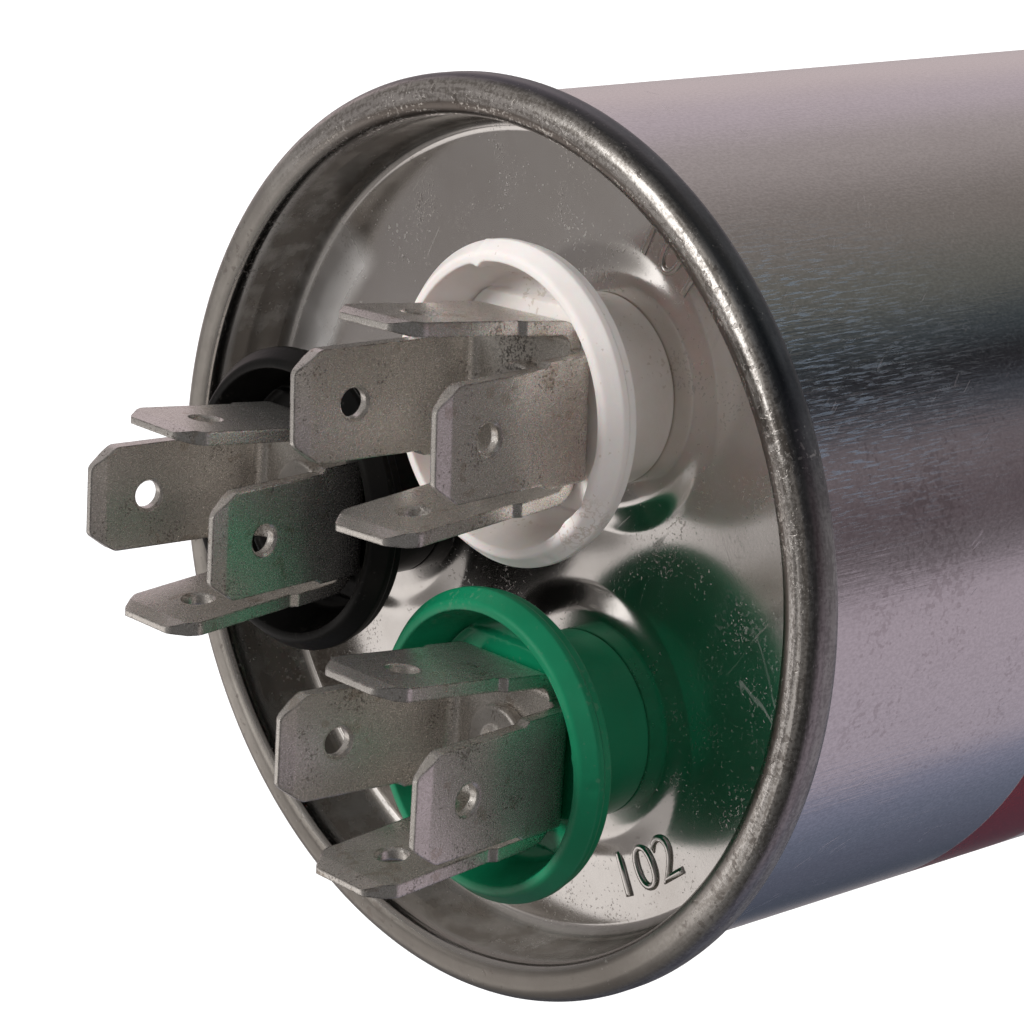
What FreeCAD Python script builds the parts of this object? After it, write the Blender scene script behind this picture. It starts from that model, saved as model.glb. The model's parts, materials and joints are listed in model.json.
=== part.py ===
"""Round dual motor run capacitor: a drawn can with a double-seamed, recessed cover and three
moulded terminals, each with a four-blade push-on cluster, and the wound element inside.

Millimetres, +Z up. The origin is the centre of the can's flat bottom. The black terminal
is towards +Y, the green one at 210 degrees and the white one at 330 degrees."""

import FreeCAD, Part

import math
import os

V = FreeCAD.Vector

# Can
can_radius = 25.4
can_sheet = 0.4
can_height = 98.4
can_bottom_bend = 2.2

# Double seam, measured from its top
cover_sheet = 0.4
seam_gap = 0.1
seam_height = 2.5
hook_bend = 0.2
hook_end_gap = 0.3
curl_foot_flat = 0.04

# Cover
panel_depth = 5.3
chuck_wall_lean = 0.5
countersink_bend = 1.3
chuck_wall_bend = 2.6
boss_rise = 0.5
boss_top_radius = 7.0
boss_foot_radius = 8.0
boss_bend = 0.4

# Terminal places: distance from the can's axis, angle about it, and the terminal's own turn
black_distance = 12.5
green_distance = 11.5
white_distance = 11.5
black_angle = 90.0
green_angle = 210.0
white_angle = 330.0
white_turn_angle = 2.6
terminals = {
    "black": (black_distance, black_angle, 0.0),
    "green": (green_distance, green_angle, 0.0),
    "white": (white_distance, white_angle, white_turn_angle),
}

# Moulded insulators
flange_radius = 9.1
flange_front_height = 3.5
flange_ring_width = 1.15
flange_side = 1.3
flange_step = 0.2
flange_foot = 0.7
recess_depth = 3.3
recess_draft = 1.0
recess_floor_round = 0.6
floor_thickness = 1.1
platform_rise = 0.4
platform_margin = 0.6
platform_corner_radius = 1.2
neck_radius = 5.5
spigot_radius = 4.0
spigot_clearance = 0.1
edge_round = 0.3

# Four-blade clusters
blade_width = 6.35
blade_sheet = 0.8
blade_height = 12.6
blade_flare_angle = 5.3
blade_bend = 0.8
cluster_half_width = 4.7
shoulder_width = 6.95
shoulder_height = 4.0
shoulder_slope = 0.4
tip_corner_side = 1.15
tip_corner_length = 1.6
tip_corner_round = 0.7
tip_bevel_length = 1.0
tip_bevel_depth = 0.22
blade_hole_radius = 0.85
blade_hole_from_tip = 3.9
blade_hole_countersink = 0.15

# Studs
stud_radius = 1.6
stud_clearance = 0.1
stud_head_radius = 2.4
stud_head_height = 0.7
stud_collar_radius = 2.9
stud_collar_height = 0.8

# Seals and washers under the cover
gasket_radius = 6.2
gasket_thickness = 1.5
washer_radius = 7.2
washer_thickness = 1.2

# Interrupter board and the ring that carries it
board_thickness = 1.6
board_clearance = 0.4
board_below_cover = 6.2
board_stud_clearance = 0.3
board_fill_hole_radius = 2.5
spacer_wall = 1.6

# Wound element
bottom_cup_wall = 0.8
bottom_cup_clearance = 0.2
bottom_cup_height = 12.0
bottom_ledge_height = 2.0
bottom_ledge_width = 8.0
wrap_thickness = 0.5
wrap_overhang = 1.0
wrap_clearance = 0.1
core_bore_radius = 3.6
core_wall = 1.4
core_overhang = 1.5
inner_section_radius = 10.0
barrier_thickness = 0.5
barrier_overhang = 1.5
spray_thickness = 0.5
spray_to_board = 10.7

# Lead strips
lead_width = 4.0
lead_sheet = 0.3
lead_bend_radius = 0.6
lead_foot_length = 4.5
lead_end_length = 2.0
lead_bore_offset = 1.0
outer_lead_margin = 3.9
inner_lead_margin = 1.0
core_lead_margin = 0.5

# How far a cutting tool reaches past what it cuts
cut_margin = 1.0

# Heights that follow from the sizes above
seam_top = can_height
panel_top = seam_top - panel_depth
panel_under = panel_top - cover_sheet
boss_under = panel_under + boss_rise
boss_top = panel_top + boss_rise
flange_front = seam_top + flange_front_height
recess_floor = flange_front - recess_depth
platform_top = recess_floor + platform_rise
base_top = platform_top + blade_sheet
washer_under = boss_under - gasket_thickness - washer_thickness
board_top = panel_under - board_below_cover
board_under = board_top - board_thickness
cup_floor_top = can_sheet + bottom_cup_wall
roll_seat = cup_floor_top + bottom_ledge_height
roll_bottom = roll_seat + spray_thickness
spray_top = board_under - spray_to_board
roll_top = spray_top - spray_thickness

# Radii that follow from the sizes above
can_bore = can_radius - can_sheet
cup_outer_radius = can_bore - bottom_cup_clearance
cup_inner_radius = cup_outer_radius - bottom_cup_wall
wrap_outer_radius = cup_inner_radius - wrap_clearance
roll_radius = wrap_outer_radius - wrap_thickness
core_radius = core_bore_radius + core_wall
barrier_radius = inner_section_radius + barrier_thickness
stud_bore_radius = stud_radius + stud_clearance


def direction(start, end):
    """Unit vector from one (r, z) point to the next."""
    dx = end[0] - start[0]
    dz = end[1] - start[1]
    length = math.hypot(dx, dz)
    return dx / length, dz / length


def offset_path(points, radii, distance):
    """The same bent line moved to its left by a distance, with its bends still concentric."""
    moved = []
    bends = []
    last = len(points) - 1
    for i, (x, z) in enumerate(points):
        before = direction(points[max(i - 1, 0)], points[max(i, 1)])
        after = direction(points[min(i, last - 1)], points[min(i + 1, last)])
        left_before = (-before[1], before[0])
        left_after = (-after[1], after[0])
        share = 1.0 + left_before[0] * left_after[0] + left_before[1] * left_after[1]
        moved.append(
            (
                x + distance * (left_before[0] + left_after[0]) / share,
                z + distance * (left_before[1] + left_after[1]) / share,
            )
        )
        if 0 < i < last:
            turn = before[0] * after[1] - before[1] * after[0]
            side = 1.0 if turn > 0 else -1.0
            bends.append(max(radii[i - 1] - side * distance, 0.0))
    return moved, bends


def path_edges(points, radii):
    """Straight runs through (x, z) points, joined by tangent arcs of the given radii."""
    edges = []
    here = points[0]
    for i in range(1, len(points) - 1):
        before = direction(points[i - 1], points[i])
        after = direction(points[i], points[i + 1])
        turn = math.acos(max(-1.0, min(1.0, before[0] * after[0] + before[1] * after[1])))
        corner = points[i]
        if radii[i - 1] > 0.0:
            reach = radii[i - 1] * math.tan(turn / 2.0)
            start = (corner[0] - before[0] * reach, corner[1] - before[1] * reach)
            end = (corner[0] + after[0] * reach, corner[1] + after[1] * reach)
            inward = (after[0] - before[0], after[1] - before[1])
            size = math.hypot(*inward)
            sagitta = radii[i - 1] * (1.0 / math.cos(turn / 2.0) - 1.0)
            middle = (corner[0] + inward[0] / size * sagitta, corner[1] + inward[1] / size * sagitta)
            add_line(edges, here, start)
            edges.append(Part.Arc(at(start), at(middle), at(end)).toShape())
            here = end
        else:
            add_line(edges, here, corner)
            here = corner
    add_line(edges, here, points[-1])
    return edges


def at(point):
    """An (x, z) point in the plane that the profiles are drawn in."""
    return V(point[0], 0.0, point[1])


def add_line(edges, start, end):
    """Add a straight edge, unless its ends coincide."""
    if math.dist(start, end) > 1e-6:
        edges.append(Part.makeLine(at(start), at(end)))


def sheet_face(points, radii, thickness):
    """Section of a bent sheet that lies to the left of the line through the points."""
    far_points, far_radii = offset_path(points, radii, thickness)
    edges = path_edges(points, radii)
    add_line(edges, points[-1], far_points[-1])
    edges += path_edges(far_points[::-1], far_radii[::-1])
    add_line(edges, far_points[0], points[0])
    return Part.Face(Part.Wire(Part.__sortEdges__(edges)))


def outline_face(points, radii):
    """Closed outline with a bend radius at each of its points."""
    middle = ((points[-1][0] + points[0][0]) / 2.0, (points[-1][1] + points[0][1]) / 2.0)
    edges = path_edges([middle, *points, middle], radii)
    return Part.Face(Part.Wire(Part.__sortEdges__(edges)))


def revolved(face):
    """Full turn of a section about the Z axis."""
    return face.revolve(V(0, 0, 0), V(0, 0, 1), 360)


def ring(inner, outer, bottom, top):
    """Plain ring, or a disc where the inner radius is zero."""
    solid = Part.makeCylinder(outer, top - bottom, V(0, 0, bottom))
    if inner > 0:
        solid = solid.cut(Part.makeCylinder(inner, top - bottom, V(0, 0, bottom)))
    return solid


def at_terminal(shape, colour):
    """Copy of a shape, moved from the can's axis to a terminal's place and given its own turn."""
    distance, angle, turn = terminals[colour]
    moved = shape.copy()
    moved.rotate(V(0, 0, 0), V(0, 0, 1), turn)
    x = distance * math.cos(math.radians(angle))
    y = distance * math.sin(math.radians(angle))
    moved.translate(V(x, y, 0))
    return moved


def make_can():
    """Drawn can: flat bottom, straight wall and the hook that the cover is folded over."""
    hook_top = seam_top - cover_sheet - seam_gap - can_sheet
    hook_radius = can_radius + cover_sheet + 2 * seam_gap
    hook_end = seam_top - seam_height + cover_sheet + seam_gap
    points = [
        (0, 0),
        (can_radius, 0),
        (can_radius, hook_top),
        (hook_radius, hook_top),
        (hook_radius, hook_end),
    ]
    return revolved(sheet_face(points, [can_bottom_bend, hook_bend, hook_bend], can_sheet))


def make_cover():
    """Pressed cover: recessed panel, chuck wall and the curl that is folded under the can's hook,
    with a raised boss and a hole at each terminal."""
    wall_radius = can_bore - seam_gap
    curl_top = seam_top - cover_sheet
    curl_radius = can_radius + cover_sheet + 3 * seam_gap + can_sheet
    curl_bottom = seam_top - seam_height + cover_sheet
    hook_radius = can_radius + seam_gap + cover_sheet
    hook_end = seam_top - cover_sheet - seam_gap - can_sheet - hook_end_gap
    crest_bend = hook_bend + can_sheet + seam_gap
    foot_bend = (curl_radius - hook_radius - curl_foot_flat) / 2.0
    points = [
        (0, panel_under),
        (wall_radius - chuck_wall_lean, panel_under),
        (wall_radius, seam_top - seam_height),
        (wall_radius, curl_top),
        (curl_radius, curl_top),
        (curl_radius, curl_bottom),
        (hook_radius, curl_bottom),
        (hook_radius, hook_end),
    ]
    bends = [countersink_bend, chuck_wall_bend, crest_bend, crest_bend, foot_bend, foot_bend]
    cover = revolved(sheet_face(points, bends, cover_sheet))
    boss_points = [
        (spigot_radius + spigot_clearance, boss_under),
        (boss_top_radius, boss_under),
        (boss_foot_radius, panel_under),
        (boss_foot_radius + boss_bend, panel_under),
    ]
    boss = revolved(sheet_face(boss_points, [boss_bend + cover_sheet, boss_bend], cover_sheet))
    opening_radius = boss_foot_radius + boss_bend
    opening = ring(0, opening_radius, panel_under - cut_margin, panel_top + cut_margin)
    for colour in terminals:
        cover = cover.cut(at_terminal(opening, colour))
        cover = cover.fuse(at_terminal(boss, colour))
    return cover.removeSplitter()


def make_insulator():
    """Moulded dish on a neck, with a spigot through the cover and a square platform in the dish."""
    ring_inner = flange_radius - flange_ring_width
    side_foot = flange_front - flange_side
    flange_under = side_foot - flange_foot
    dish_under = recess_floor - floor_thickness
    spigot_end = boss_under - gasket_thickness
    outline = [
        (stud_bore_radius, spigot_end),
        (spigot_radius, spigot_end),
        (spigot_radius, boss_top),
        (neck_radius, boss_top),
        (neck_radius, dish_under),
        (flange_radius - flange_step, flange_under),
        (flange_radius - flange_step, side_foot - flange_step),
        (flange_radius, side_foot),
        (flange_radius, flange_front),
        (ring_inner, flange_front),
        (ring_inner - recess_draft, recess_floor),
        (stud_bore_radius, recess_floor),
    ]
    radii = [0, 0, 0, 0, edge_round, 0, 0, 0, edge_round, edge_round, recess_floor_round, 0]
    body = revolved(outline_face(outline, radii))
    half = cluster_half_width + blade_sheet / 2.0 + platform_margin
    platform = Part.makeBox(2 * half, 2 * half, platform_rise, V(-half, -half, recess_floor))
    platform = platform.makeFillet(platform_corner_radius, upright_edges(platform))
    bore = ring(0, stud_bore_radius, recess_floor - cut_margin, platform_top + cut_margin)
    return body.fuse(platform).cut(bore).removeSplitter()


def upright_edges(block):
    """The edges of a block that run along Z."""
    return [e for e in block.Edges if e.BoundBox.ZLength > block.BoundBox.ZLength / 2.0]


def make_blade_arm():
    """One arm of a cluster: from the centre outwards, bent up into a blade that leans out,
    with coined tip edges, cut corners, a shoulder at the root and a countersunk hole."""
    lean = math.tan(math.radians(blade_flare_angle))
    tip = platform_top + blade_height
    inner_reach = cluster_half_width - blade_sheet / 2.0
    bend_height = base_top
    tip_reach = inner_reach + (tip - bend_height) * lean
    points = [(0, bend_height), (inner_reach, bend_height), (tip_reach, tip)]
    section = sheet_face(points[::-1], [blade_bend], blade_sheet)
    half_width = shoulder_width / 2.0
    arm = section.extrude(V(0, shoulder_width, 0))
    arm.translate(V(0, -half_width, 0))

    blade_half = blade_width / 2.0
    shoulder = platform_top + shoulder_height
    side = [
        (-half_width, platform_top - cut_margin),
        (half_width, platform_top - cut_margin),
        (half_width, shoulder),
        (blade_half, shoulder + shoulder_slope),
        (blade_half, tip - tip_corner_length),
        (blade_half - tip_corner_side, tip),
        (tip_corner_side - blade_half, tip),
        (-blade_half, tip - tip_corner_length),
        (-blade_half, shoulder + shoulder_slope),
        (-half_width, shoulder),
    ]
    rounds = [0, 0, 0, 0, tip_corner_round, tip_corner_round, tip_corner_round, tip_corner_round, 0, 0]
    mask = outline_face(side, rounds).extrude(V(0, tip_reach + 2 * blade_sheet, 0))
    mask.rotate(V(0, 0, 0), V(0, 0, 1), -90)
    arm = arm.common(mask)

    for cutter in blade_cutters(lean, tip, tip_reach):
        arm = arm.cut(cutter)
    return arm


def blade_cutters(lean, tip, tip_reach):
    """Wedges that coin the tip from both faces, and the tool of the countersunk hole, all set
    square to the leaning blade."""
    width = 2 * shoulder_width
    middle = blade_sheet / 2.0
    wedge = [
        (middle, -tip_bevel_length),
        (middle + tip_bevel_length, -tip_bevel_length),
        (middle + tip_bevel_length, tip_bevel_length),
        (middle - 2 * tip_bevel_depth, tip_bevel_length),
    ]
    outer_wedge = outline_face(wedge, [0] * len(wedge)).extrude(V(0, width, 0))
    outer_wedge.translate(V(0, -width / 2.0, 0))
    inner_wedge = outer_wedge.mirror(V(0, 0, 0), V(1, 0, 0))
    rim = blade_hole_radius + blade_hole_countersink
    tool = [
        (0, -blade_sheet),
        (rim + middle, -blade_sheet),
        (rim, -middle),
        (blade_hole_radius, -middle + blade_hole_countersink),
        (blade_hole_radius, middle - blade_hole_countersink),
        (rim, middle),
        (rim + middle, blade_sheet),
        (0, blade_sheet),
    ]
    hole = revolved(outline_face(tool, [0] * len(tool)))
    hole.rotate(V(0, 0, 0), V(0, 1, 0), 90)
    hole.translate(V(0, 0, -blade_hole_from_tip))
    cutters = [outer_wedge, inner_wedge, hole]
    for cutter in cutters:
        cutter.rotate(V(0, 0, 0), V(0, 1, 0), blade_flare_angle)
        cutter.translate(V(tip_reach + middle, 0, tip))
    return cutters


def make_cluster():
    """Four blades bent up from one square base, with a hole for the stud."""
    arm = make_blade_arm()
    arms = []
    for quarter in range(4):
        turned = arm.copy()
        turned.rotate(V(0, 0, 0), V(0, 0, 1), 90 * quarter)
        arms.append(turned)
    cluster = arms[0].multiFuse(arms[1:])
    bore = ring(0, stud_bore_radius, platform_top - cut_margin, base_top + cut_margin)
    cluster = cluster.cut(bore)
    return cluster.removeSplitter()


def make_stud():
    """Stud that clamps cluster, insulator, cover, seal and washer, down to the board's underside."""
    head_top = base_top + stud_head_height
    collar_under = washer_under - stud_collar_height
    outline = [
        (0, board_under),
        (stud_radius, board_under),
        (stud_radius, collar_under),
        (stud_collar_radius, collar_under),
        (stud_collar_radius, washer_under),
        (stud_radius, washer_under),
        (stud_radius, base_top),
        (stud_head_radius, base_top),
        (stud_head_radius - edge_round, head_top),
        (0, head_top),
    ]
    radii = [0, 0, 0, 0, 0, 0, 0, 0, edge_round, 0]
    return revolved(outline_face(outline, radii))


def make_gasket():
    """Rubber ring pressed up into the hollow of the cover's boss."""
    bore = spigot_radius + spigot_clearance
    return ring(bore, gasket_radius, boss_under - gasket_thickness, boss_under)


def make_inner_washer():
    """Stiff washer that presses the gasket against the cover."""
    return ring(stud_bore_radius, washer_radius, washer_under, washer_under + washer_thickness)


def make_board():
    """Interrupter board: a disc with a hole for each stud's end and one for filling."""
    board = ring(board_fill_hole_radius, can_bore - board_clearance, board_under, board_top)
    hole = ring(0, stud_radius + board_stud_clearance, board_under, board_top)
    for colour in terminals:
        board = board.cut(at_terminal(hole, colour))
    return board


def make_bottom_cup():
    """Insulating cup in the can's bottom, with a ledge that carries the roll."""
    bend = can_bottom_bend - can_sheet - bottom_cup_clearance
    outline = [
        (0, can_sheet),
        (cup_outer_radius, can_sheet),
        (cup_outer_radius, can_sheet + bottom_cup_height),
        (cup_inner_radius, can_sheet + bottom_cup_height),
        (cup_inner_radius, roll_seat),
        (cup_inner_radius - bottom_ledge_width, roll_seat),
        (cup_inner_radius - bottom_ledge_width, cup_floor_top),
        (0, cup_floor_top),
    ]
    return revolved(outline_face(outline, [0, bend + bottom_cup_clearance, 0, 0, 0, 0, 0, 0]))


def lead_strip(points, colour):
    """Flat strip bent along (r, z) points in the upright plane of a terminal."""
    bends = [lead_bend_radius] * (len(points) - 2)
    strip = sheet_face(points, bends, lead_sheet).extrude(V(0, lead_width, 0))
    strip.translate(V(0, -lead_width / 2.0, 0))
    strip.rotate(V(0, 0, 0), V(0, 0, 1), terminals[colour][1])
    return strip


def make_outer_lead(colour):
    """From the outer section's top spray, up and in to the black stud."""
    foot_end = roll_radius - outer_lead_margin
    riser = foot_end - lead_foot_length
    points = [
        (foot_end, spray_top + lead_sheet),
        (riser, spray_top + lead_sheet),
        (riser, board_under),
        (terminals[colour][0] - lead_end_length, board_under),
    ]
    return lead_strip(points, colour)


def make_inner_lead(colour):
    """From the inner section's top spray, up and out to the green stud."""
    riser = inner_section_radius - inner_lead_margin
    points = [
        (core_radius + core_lead_margin, spray_top),
        (riser, spray_top),
        (riser, board_under - lead_sheet),
        (terminals[colour][0] + lead_end_length, board_under - lead_sheet),
    ]
    return lead_strip(points, colour)


def make_common_lead(colour):
    """From the bottom spray, up through the core's bore and out to the white stud."""
    riser = lead_bore_offset
    points = [
        (core_radius + lead_foot_length, roll_seat),
        (riser, roll_seat),
        (riser, board_under - lead_sheet),
        (terminals[colour][0] + lead_end_length, board_under - lead_sheet),
    ]
    return lead_strip(points, colour)


def make_parts():
    """Every piece, by the name of its node."""
    insulator = make_insulator()
    cluster = make_cluster()
    stud = make_stud()
    gasket = make_gasket()
    washer = make_inner_washer()
    leads = {"black": make_outer_lead, "green": make_inner_lead, "white": make_common_lead}
    parts = {
        "can": make_can(),
        "cover": make_cover(),
        "interrupter_board": make_board(),
        "board_spacer": ring(roll_radius - spacer_wall, roll_radius, spray_top, board_under),
        "bottom_cup": make_bottom_cup(),
        "winding_outer": ring(barrier_radius, roll_radius, roll_bottom, roll_top),
        "winding_inner": ring(core_radius, inner_section_radius, roll_bottom, roll_top),
        "section_barrier": ring(
            inner_section_radius, barrier_radius, roll_bottom, spray_top + barrier_overhang
        ),
        "core_tube": ring(core_bore_radius, core_radius, roll_seat, spray_top + core_overhang),
        "end_spray_bottom": ring(core_radius, roll_radius, roll_seat, roll_bottom),
        "end_spray_top_outer": ring(barrier_radius, roll_radius, roll_top, spray_top),
        "end_spray_top_inner": ring(core_radius, inner_section_radius, roll_top, spray_top),
        "roll_wrap": ring(roll_radius, wrap_outer_radius, roll_seat, spray_top + wrap_overhang),
    }
    for colour, make_lead in leads.items():
        parts["insulator_" + colour] = at_terminal(insulator, colour)
        parts["blade_cluster_" + colour] = at_terminal(cluster, colour)
        parts["stud_" + colour] = at_terminal(stud, colour)
        parts["gasket_" + colour] = at_terminal(gasket, colour)
        parts["inner_washer_" + colour] = at_terminal(washer, colour)
        parts["lead_strip_" + colour] = make_lead(colour)
    return parts


os.makedirs("parts", exist_ok=True)
for name, shape in make_parts().items():
    solid = shape.Solids[0] if len(shape.Solids) == 1 else shape
    solid.exportStep("parts/" + name + ".step")
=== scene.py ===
"""Looks of a round dual motor run capacitor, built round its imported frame.

Shapes are written in millimetres, in the frame of the model: the origin is the centre of the
can's flat bottom, +Z is up, the black terminal is towards +Y, the green one at 210 degrees and
the white one at 330 degrees. Meshes are turned into metres where they are made."""

import json
import math

import bmesh
import bpy
import numpy as np
from mathutils import Matrix, Vector


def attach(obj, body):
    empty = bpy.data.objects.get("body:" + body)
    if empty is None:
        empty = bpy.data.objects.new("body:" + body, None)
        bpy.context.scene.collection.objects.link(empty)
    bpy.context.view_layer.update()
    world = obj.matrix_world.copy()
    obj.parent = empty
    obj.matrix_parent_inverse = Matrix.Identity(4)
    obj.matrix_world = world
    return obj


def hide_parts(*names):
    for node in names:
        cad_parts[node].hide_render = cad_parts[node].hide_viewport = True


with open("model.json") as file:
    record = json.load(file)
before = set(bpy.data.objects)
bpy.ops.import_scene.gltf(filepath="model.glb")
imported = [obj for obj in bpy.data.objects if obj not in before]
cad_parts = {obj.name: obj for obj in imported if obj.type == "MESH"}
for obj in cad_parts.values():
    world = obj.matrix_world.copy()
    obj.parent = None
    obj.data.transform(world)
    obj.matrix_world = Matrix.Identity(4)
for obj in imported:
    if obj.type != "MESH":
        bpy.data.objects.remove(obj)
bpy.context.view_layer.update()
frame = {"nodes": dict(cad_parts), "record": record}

MM = 0.001

# Can and cover, as in the frame
SHEET = 0.4
CAN_RADIUS = 25.4
CAN_FLANGE = 97.5
CAN_HOOK_RADIUS = 26.0
CAN_HOOK_END = 96.4
PANEL_TOP = 93.1
PANEL_UNDER = 92.7
PANEL_EDGE = 22.0
BOSS_RISE = 0.5
BOSS_TOP_RADIUS = 6.5
BOSS_FOOT_RADIUS = 8.4
COUNTERSINK_RADIUS = 24.4
CHUCK_WALL_RADIUS = 24.5
CHUCK_WALL_FOOT = 95.9
SEAM_INNER_TOP = 98.0
SEAM_INNER_RADIUS = 26.5
CURL_RADIUS = 25.9
CURL_BOTTOM = 96.3
CURL_END = 97.2

# Terminals: distance from the can's axis, angle about it, own turn
TERMINALS = {"black": (12.5, 90.0, 0.0), "green": (11.5, 210.0, 0.0), "white": (11.5, 330.0, 2.6)}

# Moulded dishes
DISH_FRONT = 101.9
DISH_RADIUS = 9.1
DISH_INNER_RADIUS = 7.95
DISH_SIDE_RADIUS = 8.9
DISH_SIDE_FOOT = 99.9
DISH_SIDE_TOP = 100.4
RING_FOOT = 100.6
RING_SLOPE_WIDTH = 0.65
RING_SLOPE_DEPTH = 0.9
DISH_FLOOR = 98.6
DISH_FLOOR_RADIUS = 6.95
PLATFORM_HALF = 5.7
PLATFORM_RISE = 0.4
STUD_BORE = 1.7
SPIGOT_RADIUS = 4.0
SPIGOT_END = 91.7
NECK_RADIUS = 5.5
NECK_FOOT = 93.6
NECK_TOP = 97.5

# Studs
BASE_TOP = 99.8
STUD_RADIUS = 1.6
STUD_END = 84.9
STUD_COLLAR_RADIUS = 2.9
STUD_COLLAR = (88.95, 89.75)
STUD_HEAD_TOP = 100.5
STUD_HEAD_RADIUS = 2.4
STUD_HOLLOW = 0.22

# How many columns the revolved pieces have
COVER_COLUMNS = 400
CAN_COLUMNS = 256
DISH_COLUMNS = 288
STUD_COLUMNS = 96
TENT_COLUMNS = 72


# Surfaces


def unit(v):
    return v / np.hypot(*v)


def rounded_line(points, radii, step):
    """Points along straight runs whose corners are replaced by tangent arcs.

    Where a corner turns by t, an arc of radius r starts r tan(t / 2) before the corner; its
    points are its centre plus the first spoke turned by angles from 0 to t."""
    points = np.asarray(points, float)
    pieces = [points[:1]]
    for before, corner, after, radius in zip(points[:-2], points[1:-1], points[2:], radii):
        into = unit(corner - before)
        out = unit(after - corner)
        turn = math.atan2(into[0] * out[1] - into[1] * out[0], into @ out)
        if radius == 0.0:
            pieces.append(corner[None])
            continue
        start = corner - into * radius * math.tan(abs(turn) / 2.0)
        centre = start + math.copysign(radius, turn) * np.array([-into[1], into[0]])
        angles = np.linspace(0.0, turn, max(4, math.ceil(radius * abs(turn) / step)) + 1)
        spoke = start - centre
        pieces.append(
            centre
            + np.stack(
                [
                    spoke[0] * np.cos(angles) - spoke[1] * np.sin(angles),
                    spoke[0] * np.sin(angles) + spoke[1] * np.cos(angles),
                ],
                1,
            )
        )
    pieces.append(points[-1:])
    return np.concatenate(pieces)


def spaced(line, step):
    """The same line with extra points, so that none is further than a step from the next.

    The line is read at its own arc lengths and at every multiple of the step."""
    run = np.concatenate([[0.0], np.cumsum(np.hypot(*np.diff(line, axis=0).T))])
    places = np.union1d(run, np.arange(0.0, run[-1], step))
    keep = np.concatenate([[True], np.diff(places) > step * 0.05])
    places = places[keep]
    return np.stack([np.interp(places, run, line[:, 0]), np.interp(places, run, line[:, 1])], 1)


def left_of(line, distance):
    """The line moved to its left: each point plus the distance along the left normal there."""
    along = np.gradient(line, axis=0)
    along /= np.hypot(along[:, 0], along[:, 1])[:, None]
    return line + distance * np.stack([-along[:, 1], along[:, 0]], 1)


def grid_object(name, points, wrap_rows):
    """Mesh of a grid of (x, y, z) points in mm: rows run along a profile, columns go round and
    close on themselves. Doubled points at poles are merged and faces are turned outwards."""
    rows, columns = points.shape[:2]
    index = np.arange(rows * columns).reshape(rows, columns)
    if wrap_rows:
        index = np.concatenate([index, index[:1]])
    here, after = index[:-1], index[1:]
    quads = np.stack([here, np.roll(here, -1, 1), np.roll(after, -1, 1), after], -1).reshape(-1, 4)
    mesh = bpy.data.meshes.new(name)
    mesh.from_pydata((points.reshape(-1, 3) * MM).tolist(), [], quads.tolist())
    shell = bmesh.new()
    shell.from_mesh(mesh)
    bmesh.ops.remove_doubles(shell, verts=shell.verts, dist=1e-7)
    bmesh.ops.dissolve_degenerate(shell, edges=shell.edges, dist=1e-7)
    bmesh.ops.recalc_face_normals(shell, faces=shell.faces)
    shell.to_mesh(mesh)
    shell.free()
    mesh.shade_smooth()
    mesh.set_sharp_from_angle(angle=math.radians(38))
    piece = bpy.data.objects.new(name, mesh)
    bpy.context.scene.collection.objects.link(piece)
    return piece


def revolved(name, line, columns, centre=(0.0, 0.0), reshape=None, closed=False):
    """Surface of revolution: (r, z) of the line becomes (r cos a, r sin a, z) for a full turn of
    a, then reshape(x, y, z) may move its points, and last the centre is added to x and y."""
    angle = np.linspace(0.0, 2.0 * math.pi, columns, endpoint=False)[None]
    radius, height = line[:, :1], line[:, 1:]
    x = radius * np.cos(angle)
    y = radius * np.sin(angle)
    z = height + 0.0 * angle
    if reshape:
        x, y, z = reshape(x, y, z)
    return grid_object(name, np.stack([x + centre[0], y + centre[1], z], -1), closed)


def smooth_step(value, low, high):
    """0 below low, 1 above high, and 3 t^2 - 2 t^3 between them."""
    t = np.clip((value - low) / (high - low), 0.0, 1.0)
    return t * t * (3.0 - 2.0 * t)


def terminal_centre(colour):
    distance, angle = TERMINALS[colour][:2]
    return distance * math.cos(math.radians(angle)), distance * math.sin(math.radians(angle))


# Pieces that replace nodes of the frame


def cover_line():
    """Section of the cover: panel, countersink, chuck wall, the seam's crest and flank, and the
    curl under the can's hook, then back along the other face of the sheet."""
    wall = CHUCK_WALL_RADIUS + SHEET
    points = [
        (0.0, PANEL_UNDER),
        (COUNTERSINK_RADIUS, PANEL_UNDER),
        (wall, CHUCK_WALL_FOOT),
        (wall, SEAM_INNER_TOP),
        (SEAM_INNER_RADIUS, SEAM_INNER_TOP),
        (SEAM_INNER_RADIUS, CURL_BOTTOM),
        (CURL_RADIUS, CURL_BOTTOM),
        (CURL_RADIUS, CURL_END),
    ]
    bends = [1.3, 2.6, 0.4, 0.7, 0.28, 0.28]
    under = rounded_line(points, bends, 0.15)
    fine = spaced(under, 0.25)
    coarse = spaced(rounded_line(points, bends, 0.5), 0.8)
    return np.concatenate([left_of(fine, SHEET), coarse[::-1]])


def with_bosses(x, y, z):
    """Raises the panel at each terminal: by the boss's rise inside its top radius, and by a
    smooth step of it between the top and the foot. Waves of up to 0.02 mm are added and fade
    towards the panel's edge, so that it mirrors like thin sheet."""
    on_panel = np.hypot(x, y) < PANEL_EDGE
    rise = np.zeros_like(x)
    for colour in TERMINALS:
        cx, cy = terminal_centre(colour)
        distance = np.hypot(x - cx, y - cy)
        step = 1.0 - smooth_step(distance, BOSS_TOP_RADIUS, BOSS_FOOT_RADIUS)
        rise = np.maximum(rise, BOSS_RISE * step)
    waves = 0.012 * np.sin(0.31 * x + 1.0) * np.sin(0.27 * y + 0.4) + 0.008 * np.sin(0.5 * (x - y))
    fade = 1.0 - smooth_step(np.hypot(x, y), 18.0, 21.8)
    return x, y, z + np.where(on_panel, rise + waves * fade, 0.0)


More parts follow.
